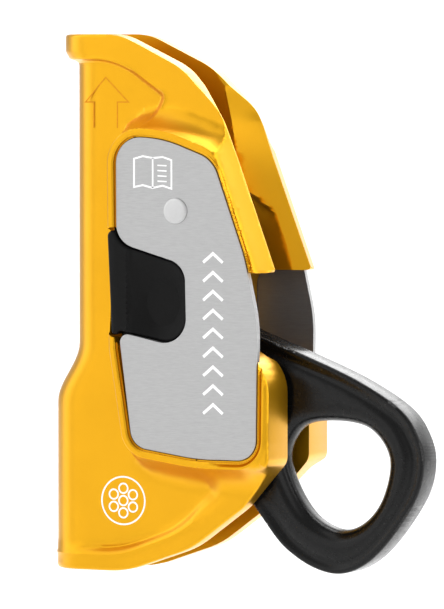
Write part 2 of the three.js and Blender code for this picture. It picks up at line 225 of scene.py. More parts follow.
def rounded(corners, step=0.7):
    """A closed loop of points through the corners, each rounded with an arc of its radius."""
    points = []
    for i, (x, z, radius) in enumerate(corners):
        corner = np.array([x, z], float)
        if radius == 0:
            points.append(corner)
            continue
        a = np.array(corners[i - 1][:2], float) - corner
        b = np.array(corners[(i + 1) % len(corners)][:2], float) - corner
        a /= np.linalg.norm(a)
        b /= np.linalg.norm(b)
        half = math.acos(float(np.clip(a @ b, -1, 1))) / 2
        centre = corner + (a + b) / np.linalg.norm(a + b) * radius / math.sin(half)
        start = corner + a * radius / math.tan(half) - centre
        end = corner + b * radius / math.tan(half) - centre
        first = math.atan2(start[1], start[0])
        sweep = (math.atan2(end[1], end[0]) - first + math.pi) % (2 * math.pi) - math.pi
        count = max(3, math.ceil(abs(sweep) * radius / step), math.ceil(abs(sweep) / 0.2))
        for t in np.linspace(0, 1, count + 1):
            angle = first + sweep * t
            points.append(centre + radius * np.array([math.cos(angle), math.sin(angle)]))
    return np.array(points)


def spline(points, closed, steps=8):
    """A Catmull-Rom curve through the points."""
    points = np.array(points, float)
    count = len(points)
    curve = []
    for i in range(count if closed else count - 1):
        picks = [i - 1, i, i + 1, i + 2]
        picks = [k % count for k in picks] if closed else [min(max(k, 0), count - 1) for k in picks]
        a, b, c, d = points[picks]
        for t in np.arange(steps) / steps:
            square = (2 * a - 5 * b + 4 * c - d) * t**2
            cube = (3 * b - a - 3 * c + d) * t**3
            curve.append(0.5 * (2 * b + (c - a) * t + square + cube))
    if not closed:
        curve.append(points[-1])
    return np.array(curve)


def resampled(loop, spacing, closed=True):
    """The loop with its long segments divided."""
    points = []
    count = len(loop)
    for i in range(count if closed else count - 1):
        a = loop[i]
        b = loop[(i + 1) % count]
        pieces = max(1, math.ceil(np.linalg.norm(b - a) / spacing))
        points.extend(a + (b - a) * k / pieces for k in range(pieces))
    if not closed:
        points.append(loop[-1])
    return np.array(points)


def distance(points, path):
    """Distance from each point to an open path."""
    best = np.full(len(points), np.inf)
    for a, b in zip(path[:-1], path[1:]):
        edge = b - a
        t = np.clip((points - a) @ edge / max(edge @ edge, 1e-12), 0, 1)
        best = np.minimum(best, np.linalg.norm(points - a - t[:, None] * edge, axis=1))
    return best


def depth(points, loop):
    """Distance from each point to a closed loop, positive inside it."""
    inside = np.zeros(len(points), bool)
    x, z = points.T
    for a, b in zip(loop, np.roll(loop, -1, 0)):
        if a[1] == b[1]:
            continue
        crosses = (a[1] > z) != (b[1] > z)
        inside ^= crosses & (x < (b[0] - a[0]) * (z - a[1]) / (b[1] - a[1]) + a[0])
    far = distance(points, np.vstack([loop, loop[:1]]))
    return np.where(inside, far, -far)


def parallel(loop, inwards, spacing=0.8):
    """Points of a loop moved inwards, or outwards where negative, that keep that distance from it."""
    points = resampled(loop, spacing)
    tangent = np.roll(points, -1, 0) - np.roll(points, 1, 0)
    tangent /= np.linalg.norm(tangent, axis=1)[:, None] + 1e-12
    x, z = loop.T
    turn = np.sign(np.sum(x * np.roll(z, -1) - z * np.roll(x, -1)))
    normal = np.stack([-tangent[:, 1], tangent[:, 0]], 1) * turn
    moved = points + normal * inwards
    for _ in range(2):
        moved = moved + normal * (inwards - depth(moved, loop))[:, None]
    return moved[np.abs(depth(moved, loop) - inwards) < 0.012]


class Spaced:
    """Points that keep a distance from each other, in a grid of cells."""

    def __init__(self, points, cell=2.0):
        self.cell = cell
        self.cells = {}
        self.points = []
        for point in points:
            self.add(point)

    def key(self, point):
        return int(point[0] // self.cell), int(point[1] // self.cell)

    def add(self, point):
        self.cells.setdefault(self.key(point), []).append(point)
        self.points.append(point)

    def clear(self, point, gap):
        """Whether no point lies within the gap, which is at most a cell."""
        i, j = self.key(point)
        for a in (i - 1, i, i + 1):
            for b in (j - 1, j, j + 1):
                for other in self.cells.get((a, b), ()):
                    if (other[0] - point[0]) ** 2 + (other[1] - point[1]) ** 2 < gap * gap:
                        return False
        return True

    def take(self, points, gap):
        for point in points:
            if self.clear(point, gap):
                self.add(point)


def lattice(low, high, step):
    """A triangular grid of points over a rectangle."""
    points = []
    for k, z in enumerate(np.arange(low[1] + step / 2, high[1], step * 0.87)):
        start = low[0] + step * (0.5 if k % 2 else 1)
        points.extend([x, z] for x in np.arange(start, high[0], step))
    return np.array(points)


def triangles(outline, guides, step, hole=None):
    """Points and triangles over an outline: its own points, the guides, and a grid clear of both."""
    rings = [outline] if hole is None else [outline, hole]
    spaced = Spaced(np.vstack(rings))

    def room(points):
        far = depth(points, outline)
        return far if hole is None else np.minimum(far, -depth(points, hole))

    if guides:
        guides = np.vstack(guides)
        spaced.take(guides[room(guides) > 0.03], 0.03)
    grid = lattice(outline.min(0), outline.max(0), step)
    spaced.take(grid[room(grid) > step * 0.45], step * 0.55)
    count = len(outline)
    edges = []
    if hole is not None:
        edges = [(count + k, count + (k + 1) % len(hole)) for k in range(len(hole))]
    points = [Vector(p) for p in spaced.points]
    result = delaunay_2d_cdt(points, edges, [list(range(count))], 1, 1e-6)
    flat = np.array([list(p) for p in result[0]])
    faces = [list(face) for face in result[2]]
    if hole is not None:
        centres = np.array([flat[face].mean(0) for face in faces])
        faces = [face for face, out in zip(faces, depth(centres, hole) < 0) if out]
    return flat, faces


def border(faces):
    """Edges used by one face only, in that face's direction."""
    seen = {}
    for face in faces:
        for a, b in zip(face, face[1:] + face[:1]):
            if (b, a) in seen:
                del seen[(b, a)]
            else:
                seen[(a, b)] = True
    return list(seen)


# ---- Tools for objects --------------------------------------------------------------------


def mesh_object(name, points, faces, angle=32, merge=0.0):
    """An object of a mesh given in millimetres, smooth but for edges sharper than the angle."""
    mesh = bpy.data.meshes.new(name)
    mesh.from_pydata((np.asarray(points) * MM).tolist(), [], faces)
    if merge:
        made = bmesh.new()
        made.from_mesh(mesh)
        bmesh.ops.remove_doubles(made, verts=made.verts, dist=merge * MM)
        bmesh.ops.recalc_face_normals(made, faces=made.faces)
        made.to_mesh(mesh)
        made.free()
    mesh.validate()
    for polygon in mesh.polygons:
        polygon.use_smooth = True
    mesh.set_sharp_from_angle(angle=math.radians(angle))
    made = bpy.data.objects.new(name, mesh)
    bpy.context.scene.collection.objects.link(made)
    return made


def add_piece(made, body, material, slot, *nodes):
    """Gives a piece its material and body, and the CAD nodes that it stands for."""
    made.data.materials.clear()
    made.data.materials.append(material)
    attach(made, body)
    if nodes:
        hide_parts(*nodes)
    return made


def shell(flat, faces, outer, inner, side, seam=None):
    """A closed shell between an outer and an inner placing of the same triangles.

    outer and inner are arrays of points for +Y; side -1 mirrors them. Edges that seam picks get no wall.
    """
    points = np.vstack([outer, inner])
    count = len(flat)
    made = [list(face)[::-1] for face in faces]
    made += [[i + count for i in face] for face in faces]
    for a, b in border(faces):
        if seam is not None and seam(a) and seam(b):
            continue
        made.append([a, b, b + count, a + count])
    points = points * np.array([1, side, 1])
    if side < 0:
        made = [face[::-1] for face in made]
    return points, made


def rounding(far, radius):
    """How much a rounded edge has dropped, at a distance from the edge."""
    inner = np.clip(radius - far, 0, radius)
    return radius - np.sqrt(np.clip(radius**2 - inner**2, 0, None))


# ---- Materials ----------------------------------------------------------------------------


def new_material(name, color, metallic, roughness):
    """A Principled material, returned with its nodes, links and shader."""
    material = bpy.data.materials.new(name)
    material.use_nodes = True
    shader = material.node_tree.nodes["Principled BSDF"]
    shader.inputs["Base Color"].default_value = (*color, 1)
    shader.inputs["Metallic"].default_value = metallic
    shader.inputs["Roughness"].default_value = roughness
    return material, material.node_tree.nodes, material.node_tree.links, shader


def noise(nodes, links, scale, stretch=(1, 1, 1), detail=4.0, roughness=0.55):
    """A noise texture in object space, stretched along the axes."""
    place = nodes.new("ShaderNodeTexCoord")
    mapping = nodes.new("ShaderNodeMapping")
    mapping.inputs["Scale"].default_value = stretch
    texture = nodes.new("ShaderNodeTexNoise")
    texture.inputs["Scale"].default_value = scale
    texture.inputs["Detail"].default_value = detail
    texture.inputs["Roughness"].default_value = roughness
    links.new(place.outputs["Object"], mapping.inputs["Vector"])
    links.new(mapping.outputs["Vector"], texture.inputs["Vector"])
    return texture.outputs["Fac"]


def ramped(nodes, links, source, stops):
    """A colour ramp over a value: stops are (place, colour or grey)."""
    ramp = nodes.new("ShaderNodeValToRGB")
    elements = ramp.color_ramp.elements
    while len(elements) < len(stops):
        elements.new(0.5)
    for element, (place, value) in zip(elements, stops):
        element.position = place
        color = value if hasattr(value, "__len__") else (value, value, value)
        element.color = (*color, 1)
    links.new(source, ramp.inputs["Fac"])
    return ramp.outputs["Color"]


def bump(nodes, links, shader, height, strength, reach):
    node = nodes.new("ShaderNodeBump")
    node.inputs["Strength"].default_value = strength
    node.inputs["Distance"].default_value = reach
    links.new(height, node.inputs["Height"])
    links.new(node.outputs["Normal"], shader.inputs["Normal"])


def gold_material():
    """Satin gold anodising, with a faint pale sheen."""
    material, nodes, links, shader = new_material("gold_anodised", (0.66, 0.325, 0.001), 0.9, 0.36)
    shader.inputs["Coat Weight"].default_value = 0.17
    shader.inputs["Coat Roughness"].default_value = 0.3
    cloud = noise(nodes, links, 60, detail=3)
    links.new(
        ramped(nodes, links, cloud, [(0.3, (0.645, 0.315, 0.001)), (0.7, (0.68, 0.335, 0.002))]),
        shader.inputs["Base Color"],
    )
    grain = noise(nodes, links, 2600, detail=2)
    links.new(ramped(nodes, links, grain, [(0.3, 0.30), (0.7, 0.38)]), shader.inputs["Roughness"])
    bump(nodes, links, shader, grain, 0.06, 0.00005)
    return material


def brushed_material(name, color, low=0.30, high=0.46, metallic=0.85, along=(14, 1, 260)):
    """Steel brushed along X."""
    material, nodes, links, shader = new_material(name, color, metallic, 0.38)
    streaks = noise(nodes, links, 32, stretch=along, detail=5, roughness=0.65)
    dark = tuple(c * 0.88 for c in color)
    pale = tuple(min(c * 1.1, 1) for c in color)
    links.new(ramped(nodes, links, streaks, [(0.32, dark), (0.68, pale)]), shader.inputs["Base Color"])
    links.new(ramped(nodes, links, streaks, [(0.3, low), (0.7, high)]), shader.inputs["Roughness"])
    bump(nodes, links, shader, streaks, 0.12, 0.00004)
    return material


def steel_material(name, color, roughness):
    """Plain steel with a fine grain."""
    material, nodes, links, shader = new_material(name, color, 0.95, roughness)
    grain = noise(nodes, links, 900, detail=3)
    links.new(
        ramped(nodes, links, grain, [(0.3, roughness - 0.06), (0.7, roughness + 0.08)]),
        shader.inputs["Roughness"],
    )
    bump(nodes, links, shader, grain, 0.08, 0.00005)
    return material


def black_forged_material():
    material, nodes, links, shader = new_material("black_forged", (0.003, 0.003, 0.003), 0.0, 0.24)
    shader.inputs["Specular IOR Level"].default_value = 0.22
    grain = noise(nodes, links, 700, detail=4)
    links.new(ramped(nodes, links, grain, [(0.3, 0.22), (0.7, 0.3)]), shader.inputs["Roughness"])
    bump(nodes, links, shader, grain, 0.12, 0.00005)
    return material


def black_plastic_material():
    material, nodes, links, shader = new_material("black_polyamide", (0.003, 0.003, 0.003), 0.0, 0.42)
    shader.inputs["Specular IOR Level"].default_value = 0.12
    grain = noise(nodes, links, 1800, detail=3)
    links.new(ramped(nodes, links, grain, [(0.3, 0.44), (0.7, 0.58)]), shader.inputs["Roughness"])
    bump(nodes, links, shader, grain, 0.25, 0.00006)
    return material


def print_material():
    material, nodes, links, shader = new_material("white_print", (0.9, 0.9, 0.9), 0.0, 0.55)
    cloud = noise(nodes, links, 900, detail=2)
    links.new(
        ramped(nodes, links, cloud, [(0.3, (0.84, 0.84, 0.84)), (0.7, (0.93, 0.93, 0.93))]),
        shader.inputs["Base Color"],
    )
    return material


def engraving_shade_material():
    # Darker, more orange gold for the engraved arrow, which is only a flat mark: painted shade for the
    # inside of its groove. The higher roughness is the cut's own.
    material, nodes, links, shader = new_material("engraving_gold_painted_shade", (0.60, 0.23, 0.004), 0.7, 0.5)
    cloud = noise(nodes, links, 900, detail=2)
    links.new(
        ramped(nodes, links, cloud, [(0.3, (0.56, 0.215, 0.003)), (0.7, (0.66, 0.26, 0.005))]),
        shader.inputs["Base Color"],
    )
    return material


def pale_plastic_material():
    material, nodes, links, shader = new_material("pale_polymer", (0.72, 0.68, 0.58), 0.0, 0.45)
    cloud = noise(nodes, links, 500, detail=2)
    links.new(
        ramped(nodes, links, cloud, [(0.3, (0.68, 0.64, 0.54)), (0.7, (0.76, 0.72, 0.62))]),
        shader.inputs["Base Color"],
    )
    return material


GOLD = gold_material()
PLATE_STEEL = brushed_material("brushed_plate", (0.385, 0.385, 0.385))
# A darker copy of the plate steel for the plates' inner faces: painted shade for the inside of the
# channel.
PLATE_STEEL_PAINTED_SHADE = brushed_material("plate_inner_painted_shade", (0.13, 0.13, 0.135), metallic=0.3)
# Steel for the links, made very dark: painted shade for their place inside the channel.
LINK_STEEL_PAINTED_SHADE = brushed_material("brushed_link_painted_shade", (0.10, 0.10, 0.105), metallic=0.6)
PIN_STEEL = steel_material("pin_steel", (0.62, 0.62, 0.62), 0.3)
RIVET_STEEL = steel_material("rivet_steel", (0.50, 0.50, 0.50), 0.4)
BLACK_FORGED = black_forged_material()
BLACK_PLASTIC = black_plastic_material()
WHITE_PRINT = print_material()
ENGRAVED_GOLD_PAINTED_SHADE = engraving_shade_material()
PALE_PLASTIC = pale_plastic_material()


# ---- The channel body ---------------------------------------------------------------------

WING_LOOP = rounded(WING)
FIELD_LOOP = rounded(FIELD)
PLATE_FULL_LOOP = rounded(PLATE_FULL)
PLATE_LOOP = rounded(PLATE, 0.5)
BUTTON_REACH_LOOP = rounded(BUTTON_REACH)
BUTTON_FLANGE_LOOP = rounded(BUTTON_FLANGE)

PLATE_GAP = 0.5
LEDGE_GAP = 0.14  # from the plate to the ledge that fills the rest of its gap
LEDGE_DROP = 0.35  # of the ledge below the plate's face
RIM_WIDTH = 2.3
REACH_GAP = 0.4  # round the button's upper part
REACH_FLOOR = 13.3  # half the width at the floor under the button's upper part
FLANGE_GAP = 0.5  # round the button's flange
CORNER_Z = 20.4  # where the wing's upper free edge ends at the notch


def upper_free_edge():
    """The wing's outline from its top down to the notch's corner."""
    loop = resampled(WING_LOOP, 0.7, closed=False)
    at_corner = (loop[:, 0] > 50) & (loop[:, 1] < CORNER_Z + 0.9)
    return loop[: int(np.argmax(at_corner))]


FREE_TOP = upper_free_edge()

# The gap between the wings opens out from one line to the other, given as X and Z downwards.
MOUTH = np.array([[26.5, 73.2], [29, 69.8], [31, 60.9], [33.7, 44.1], [38.8, 29.5], [41.6, 19]])
MOUTH_EDGE = np.array([[27.5, 73.2], [31.5, 69.8], [37.4, 60.2], [42.2, 49.9], [47.8, 34.4], [53, 19]])
MOUTH_HALF = 11.5  # half the gap between the wings at their upper free edge


def circle_loop(centre, radius, count=48):
    angles = np.linspace(0, -2 * np.pi, count, endpoint=False)
    return np.array(centre) + radius * np.stack([np.cos(angles), np.sin(angles)], 1)


def sector_loop(radius, start, end):
    """A sector about the pivot, in degrees from straight down towards +X."""
    angles = np.radians(np.arange(start, end + 0.1, 2) - 90)
    arc = PIVOT + radius * np.stack([np.cos(angles), np.sin(angles)], 1)
    return np.vstack([[PIVOT], arc])


def strap_loop(a, b, radius_a, radius_b):
    """A bar with round ends of two sizes."""
    a, b = np.array(a), np.array(b)
    heading = math.atan2(b[1] - a[1], b[0] - a[0])
    lean = math.acos((radius_a - radius_b) / np.linalg.norm(b - a))
    first = heading + lean + np.linspace(0, 2 * math.pi - 2 * lean, 14)
    last = heading - lean + np.linspace(0, 2 * lean, 14)
    round_a = a + radius_a * np.stack([np.cos(first), np.sin(first)], 1)
    round_b = b + radius_b * np.stack([np.cos(last), np.sin(last)], 1)
    return np.vstack([round_a, round_b])


def swung(point, degrees):
    """A place turned about the pivot as the links swing out."""
    cosine, sine = math.cos(math.radians(degrees)), math.sin(math.radians(degrees))
    x, z = np.array(point) - PIVOT
    return PIVOT + np.array([x * cosine - z * sine, x * sine + z * cosine])


def room_loops():
    """Outlines that together cover what the links swing through."""
    loops = [sector_loop(44.4, -8, 70), sector_loop(29.5, -31, 70)]
    for turn in (0, SWING):
        axle = swung(AXLE, turn)
        latch = swung(LATCH, turn)
        loops.append(strap_loop(PIVOT, axle, 7, 7.5))
        loops.append(strap_loop(axle, latch, 7.5, 5.3))
        loops.append(strap_loop(latch, PIVOT, 5.3, 7))
    return loops


ROOM_LOOPS = room_loops()


def inside_half(points):
    """Half the gap between the wings at each point: it opens out towards the upper free edge."""
    x, z = points.T
    line = np.interp(z, MOUTH[::-1, 1], MOUTH[::-1, 0])
    edge = np.interp(z, MOUTH_EDGE[::-1, 1], MOUTH_EDGE[::-1, 0])
    share = np.clip((x - line) / (edge - line), 0, 1.1)
    opening = (MOUTH_HALF - CHANNEL_HALF) * smooth(76, 62, z) * share
    flare = CHANNEL_HALF + np.where(z > CORNER_Z - 1, opening, 0)
    room = np.full(len(points), -np.inf)
    for loop in ROOM_LOOPS:
        room = np.maximum(room, depth(points, loop))
    return np.maximum(flare, mix(CHANNEL_HALF, LINK_ROOM, smooth(-2.4, 0, room)))


def facet_run(z):
    """Width of the facet along the upper free edge."""
    return mix(0.35, 1.9, smooth(64, 54, z))


def sunk(points, plate, surface):
    """The surface with the plate's pocket, the button's room and its spring's seat sunk in it."""
    surface = np.where(plate < PLATE_GAP, PLATE_OUTER - LEDGE_DROP, surface)
    surface = np.where(plate < LEDGE_GAP, POCKET_FLOOR, surface)
    surface = np.where(depth(points, BUTTON_REACH_LOOP) > -REACH_GAP, REACH_FLOOR, surface)
    surface = np.where(depth(points, BUTTON_FLANGE_LOOP) > -FLANGE_GAP, BUTTON_ROOM, surface)
    from_spring = np.linalg.norm(points - BUTTON_SPRING, axis=1)
    return np.where(from_spring < SPRING_SEAT, SPRING_SEAT_FLOOR, surface)


def banded(points):
    """Half the width over the recessed panel and the bands above and below it."""
    x, z = points.T
    panel = PANEL_HALF + 0.2 * smooth(-2, -16, z)
    band = BAND_HALF + 0.8 * smooth(10, 30, x)
    field = depth(points, FIELD_LOOP)
    upper = z > 0
    wide = smooth(6, 30, x)
    soft = np.where(upper, mix(0.5, 1.6, wide), mix(1.7, 3.0, smooth(26, 36, x)))
    surface = mix(band, panel, smooth(-soft, soft, field))
    lip = np.exp(-(((field + soft + 0.1) / 0.4) ** 2))
    foot = np.exp(-(((field + 0.1) / (0.55 * soft)) ** 2)) * (1 - wide)
    surface += 0.2 * lip - np.where(upper, 0.35, 1.2 * smooth(-7, 1, x)) * foot
    return surface


def rimmed(points, plate, surface):
    """The surface raised to the rim round the plate, with its flanks, its groove and its shelf."""
    x, z = points.T
    spread = smooth(4, 24, x) * np.maximum(smooth(40, 56, z), smooth(-18, -30, z))
    rise = np.clip(1 - (plate - RIM_WIDTH) / (3.1 + 4.6 * spread), 0, 1)
    rise = mix(0.4 * rise + 0.6 * rise**2.2, rise**2.3, spread)
    surface = mix(surface, RIM_HALF, rise)
    groove = np.exp(-(((plate - 1.25) / 0.28) ** 2)) * smooth(36, 41, x)
    inner_edge = smooth(0.85, 0.45, plate) * (plate < RIM_WIDTH)
    surface = surface - 0.9 * groove - 0.3 * inner_edge
    shelf = smooth(46, 50, x) * smooth(-33, -30, z) * (z < 5) * (plate > RIM_WIDTH)
    return mix(surface, np.maximum(surface, RIM_HALF - 0.3), shelf)


def faceted(points, surface):
    """The surface cut by the facet that falls to the brink of the mouth along the upper edge."""
    z = points[:, 1]
    edge = distance(points, FREE_TOP)
    run = facet_run(z)
    brink = inside_half(points) + 0.35
    beyond = np.clip(edge - run, 0, None)
    facet = brink + (EDGE_HALF - brink) * np.minimum(edge / run, 1) + 2.5 * beyond
    return np.where(z > CORNER_Z - 0.5, lower(surface, facet), surface)


def outside_half(points):
    """Half the width of the body's outside at each point."""
    x, z = points.T
    plate = -depth(points, PLATE_FULL_LOOP)
    surface = rimmed(points, plate, banded(points))
    surface = faceted(points, surface)
    outline = depth(points, WING_LOOP)
    other = np.where(z > CORNER_Z + 0.4, np.where(x < 3, outline, 5), outline)
    surface -= rounding(other, np.where(x < 8, 1.0, 0.7))
    surface = sunk(points, plate, surface)
    return np.maximum(surface, inside_half(points) + 0.3)


def wrapped(points, half, centre):
    """Places points of the unwrapped half channel: flat where x is positive, then round the back."""
    u, z = points.T
    straight = -centre
    along = np.clip(-u / BACK_SPAN, 0, 1) * (straight + math.pi / 2 * half)
    angle = np.clip((along - straight) / half, 0, math.pi / 2)
    x = np.where(u >= 0, u, np.where(along < straight, -along, centre - half * np.sin(angle)))
    y = half * np.cos(np.where(u >= 0, 0, angle))
    return np.stack([x, y, z], 1)


def outer_centre(z):
    """X of the middle of the round back at each height, on the outside."""
    low = -6.3 + 1.3 * smooth(-52.7, -56.0, z)
    return mix(mix(0, low, smooth(0.5, -15.5, z)), -2.4, smooth(75.2, 79.4, z))


# Rows of guide points along the facet: shares of its width, and further steps inwards.
FACET_ROWS = ((0.3, 0), (0.6, 0), (1, -0.08), (1, 0.08), (1, 0.5), (1, 1.0))

# Rows of guide points round each outline: the outline, their distances inwards, and their spacing.
GUIDE_ROWS = (
    (WING_LOOP, (0.12, 0.3, 0.55), 0.75),
    (PLATE_FULL_LOOP, (-0.1, -0.18, -0.46, -0.54), 0.4),
    (PLATE_FULL_LOOP, (-0.7, -1.0), 0.8),
    (PLATE_FULL_LOOP, (-1.15, -1.45, -1.75, -2.05, -2.35, -2.8, -3.4, -4.1, -4.8, -5.5, -6.2), 0.8),
    (BUTTON_REACH_LOOP, (-0.2, -0.3, -0.37, -0.44), 0.4),
    (BUTTON_FLANGE_LOOP, (-0.25, -0.38, -0.46, -0.54), 0.4),
)
FIELD_ROWS = (-2.6, -1.9, -1.3, -0.8, -0.4, -0.1, 0.2, 0.6, 1.1, 1.7, 2.5)
ROOM_ROWS = (-2.4, -1.7, -1.0, -0.4, 0)


def facet_guides():
    """Points along the facet of the upper free edge."""
    tangent = np.gradient(FREE_TOP, axis=0)
    tangent /= np.linalg.norm(tangent, axis=1)[:, None] + 1e-9
    inwards = np.stack([tangent[:, 1], -tangent[:, 0]], 1)
    run = facet_run(FREE_TOP[:, 1])[:, None]
    return [FREE_TOP + inwards * (run * share + more) for share, more in FACET_ROWS]


def body_guides():
    """Points that the body's triangles follow, so that its steps and blends stay crisp."""
    guides = [parallel(WING_LOOP, 0.9)] + facet_guides()
    for loop, insets, spacing in GUIDE_ROWS:
        guides += [parallel(loop, inset, spacing) for inset in insets]
    guides += [circle_loop(BUTTON_SPRING, SPRING_SEAT + more) for more in (-0.04, 0.04)]
    guides += [parallel(FIELD_LOOP, inset, 0.9) for inset in FIELD_ROWS]
    guides += [parallel(loop, inset, 0.9) for loop in ROOM_LOOPS for inset in ROOM_ROWS]
    guides.append(resampled(MOUTH, 0.8, closed=False))
    guides.append(circle_loop(LATCH, LATCH_HOLE))
    return guides


def make_channel_body():
    """The gold channel: one unwrapped half, mirrored to the other side and joined round the back."""
    domain = WING_LOOP.copy()
    domain[domain[:, 0] < -BACK_SPAN, 0] = -BACK_SPAN
    flat, faces = triangles(resampled(domain, 0.75), body_guides(), 1.5)
    faces = [face for face in faces if np.linalg.norm(flat[face].mean(0) - LATCH) > LATCH_HOLE]
    outer = wrapped(flat, outside_half(flat), outer_centre(flat[:, 1]))
    inner_centre = mix(0, -5.5, smooth(-3, -18, flat[:, 1]))
    inner = wrapped(flat, inside_half(flat), inner_centre)

    def at_back(i):
        return flat[i][0] < -BACK_SPAN + 1e-3

    points = []
    polygons = []
    for side in (1, -1):
        more, made = shell(flat, faces, outer, inner, side, seam=at_back)
        base = sum(len(part) for part in points)
        polygons += [[i + base for i in face] for face in made]
        points.append(more)
    return mesh_object("gold_channel", np.vstack(points), polygons, angle=28, merge=0.004)


add_piece(make_channel_body(), "clamp_body", GOLD, "gold_aluminium", "channel_body")


# ---- Side plates, rivets and prints --------------------------------------------------------


def slab(name, loop, low, high, side, bevel=0.25, grid=3.0, angle=32, top=None, under=None, guides=()):
    """A closed slab over a loop, with a rounded outer edge and an optional shape for each face."""
    outline = resampled(loop, 0.6)
    guides = list(guides) + [parallel(loop, bevel * share, 0.6) for share in (0.15, 0.4, 0.7, 1.0, 1.6)]
    flat, faces = triangles(outline, guides, grid)
    edge = depth(flat, loop)
    face = np.full(len(flat), high) if top is None else top(flat)
    outer = np.stack([flat[:, 0], face - rounding(np.abs(edge), bevel), flat[:, 1]], 1)
    back = np.full(len(flat), low) if under is None else under(flat)
    inner = np.stack([flat[:, 0], back, flat[:, 1]], 1)
    points, made = shell(flat, faces, outer, inner, side)
    return mesh_object(name, points, made, angle)


def lathe(name, centre, profile, side, count=48):
    """A turned piece about Y: profile is (radius, y) from axis to axis."""
    points = []
    faces = []
    for radius, y in profile:
        for k in range(count):
            angle = 2 * math.pi * k / count
            x = centre[0] + radius * math.cos(angle)
            points.append([x, y * side, centre[1] + radius * math.sin(angle)])
    for row in range(len(profile) - 1):
        for k in range(count):
            a = row * count + k
            b = row * count + (k + 1) % count
            faces.append([a, b, b + count, a + count])
    return mesh_object(name, points, faces, 35, merge=0.001)


def ribbon(path, width, closed=False):
    """Flat quads along a path in X and Z, with mitred corners."""
    path = np.array(path, float)
    count = len(path)
    left, right = [], []
    for i in range(count):
        before = path[i - 1] if (closed or i > 0) else path[i] * 2 - path[i + 1]
        after = path[(i + 1) % count] if (closed or i < count - 1) else path[i] * 2 - path[i - 1]
        a = (path[i] - before) / np.linalg.norm(path[i] - before)
        b = (after - path[i]) / np.linalg.norm(after - path[i])
        normal = np.array([-(a + b)[1], (a + b)[0]])
        normal /= np.linalg.norm(normal)
        reach = width / 2 / max(normal @ np.array([-a[1], a[0]]), 0.4)
        left.append(path[i] + normal * reach)
        right.append(path[i] - normal * reach)
    points = left + right
    quads = []
    for i in range(count if closed else count - 1):
        j = (i + 1) % count
        quads.append([i, j, j + count, i + count])
    return points, quads


def print_object(name, ribbons, y, side, thickness=0.03):
    """Thin closed prints on a flat face at y, from ribbons of quads."""
    points = []
    faces = []
    for flat, quads in ribbons:
        base = len(points)
        count = len(flat)
        points += [[p[0], y + thickness, p[1]] for p in flat]
        points += [[p[0], y, p[1]] for p in flat]
        for quad in quads:
            faces.append([base + i for i in quad])
            faces.append([base + count + i for i in quad[::-1]])
        for a, b in border(quads):
            faces.append([base + b, base + a, base + a + count, base + b + count])
    points = np.array(points) * [1, side, 1]
    return mesh_object(name, points, faces, 30, merge=0.0005)


def book_lines():
    """An open book with plain lines on its right page."""
    top = [[14.6, 50.4], [17.2, 51.1], [20.1, 50.6], [23.0, 50.9], [25.6, 50.1]]
    low = [[25.6, 42.5], [23.0, 43.3], [20.1, 42.7], [17.2, 43.4], [14.6, 42.9]]
    lines = [ribbon(top + low, 0.5, closed=True), ribbon([top[2], low[2]], 0.45)]
    for row in range(4):
        z = 48.7 - row * 1.4
        lines.append(ribbon([[21.5, z], [24.2, z - 0.12]], 0.36))
    return lines


def chevrons():
    """A column of plain arrowheads up the plate."""
    lines = []
    for row in range(9):
        z = -14.5 + row * 5.0
        lines.append(ribbon([[34.9, z - 2.4], [37.75, z], [40.6, z - 2.4]], 0.8))
    return lines


def direction_arrow():
    """The outline of an arrow that points up the rope."""
    path = [[-1.8, 58.5], [-1.8, 65.4], [-4.3, 65.4], [1.7, 72.0], [8.5, 65.4], [5.2, 65.4], [5.2, 58.5]]
    return [ribbon(path, 0.34)]


def rope_mark():
    """A plain ring round a coil of strands: the end of a rope."""
    centre = np.array([7.0, -41.5])
    ring = circle_loop(centre, 6.4, 56)
    lines = [ribbon(ring, 0.45, closed=True)]
    for k in range(6):
        angle = math.radians(60 * k + 30)
        small = circle_loop(centre + 3.3 * np.array([math.cos(angle), math.sin(angle)]), 1.3, 24)
        lines.append(ribbon(small, 0.45, closed=True))
    lines.append(ribbon(circle_loop(centre, 1.3, 24), 0.45, closed=True))
    return lines


def rivet_profile():
    """Radius and y down the rivet: a low domed head, the shank, and the inner head in the channel."""
    shank, head, inner_head = 3.0, 3.45, 4.4
    top = PLATE_OUTER + 0.5
    seat = PLATE_OUTER + 0.02
    dome = [(0, 0), (1.4, 0.01), (2.6, 0.04), (3.1, 0.1), (3.35, 0.22), (head, 0.42)]
    outside = [(radius, top - drop) for radius, drop in dome]
    inside = [(4.2, 6.1), (inner_head, 5.9), (inner_head, 5.5), (4.1, 5.25), (0, 5.2)]
    return outside + [(head, seat), (shank, seat), (shank, 6.1)] + inside


def button_top(flat):
    """The thumb button's face: a raised strip, then a dished thumb rest."""
    x, z = flat.T
    strip = BUTTON_OUTER - 0.25 - 0.12 * np.clip(9 - x, 0, 4)
    reach = np.sqrt(((x - 22.0) / 11.0) ** 2 + ((z - 12.2) / 14.5) ** 2)
    dish = BUTTON_OUTER - 0.5 - 3.3 * smooth(1.05, 0.15, reach)
    dish -= 0.5 * smooth(12.6, 13.6, x)
    return np.where(x < 12.8, strip, np.minimum(dish, strip))


def flange_underside(flat):
    """The flange's inner face, with a blind hole that seats the button's spring."""
    from_spring = np.linalg.norm(flat - BUTTON_SPRING, axis=1)
    return np.where(from_spring < SPRING_HOLE, SPRING_HOLE_FLOOR, BUTTON_INNER)


def make_plate_and_rivet(word, side):
    plate = slab(f"{word}_brushed_plate", PLATE_LOOP, PLATE_INNER, PLATE_OUTER, side, bevel=0.22)
    add_piece(plate, "clamp_body", PLATE_STEEL, "brushed_plate", f"{word}_side_plate")
    # The plate's inner face gets the darker copy of its steel: painted shade where it looks into the
    # channel.
    plate.data.materials.append(PLATE_STEEL_PAINTED_SHADE)
    for polygon in plate.data.polygons:
        polygon.material_index = int(polygon.normal.y * side < -0.5)
    rivet = lathe(f"{word}_rivet", PIVOT, rivet_profile(), side)
    add_piece(rivet, "clamp_body", RIVET_STEEL, "pin_steel", f"{word}_pivot_rivet")


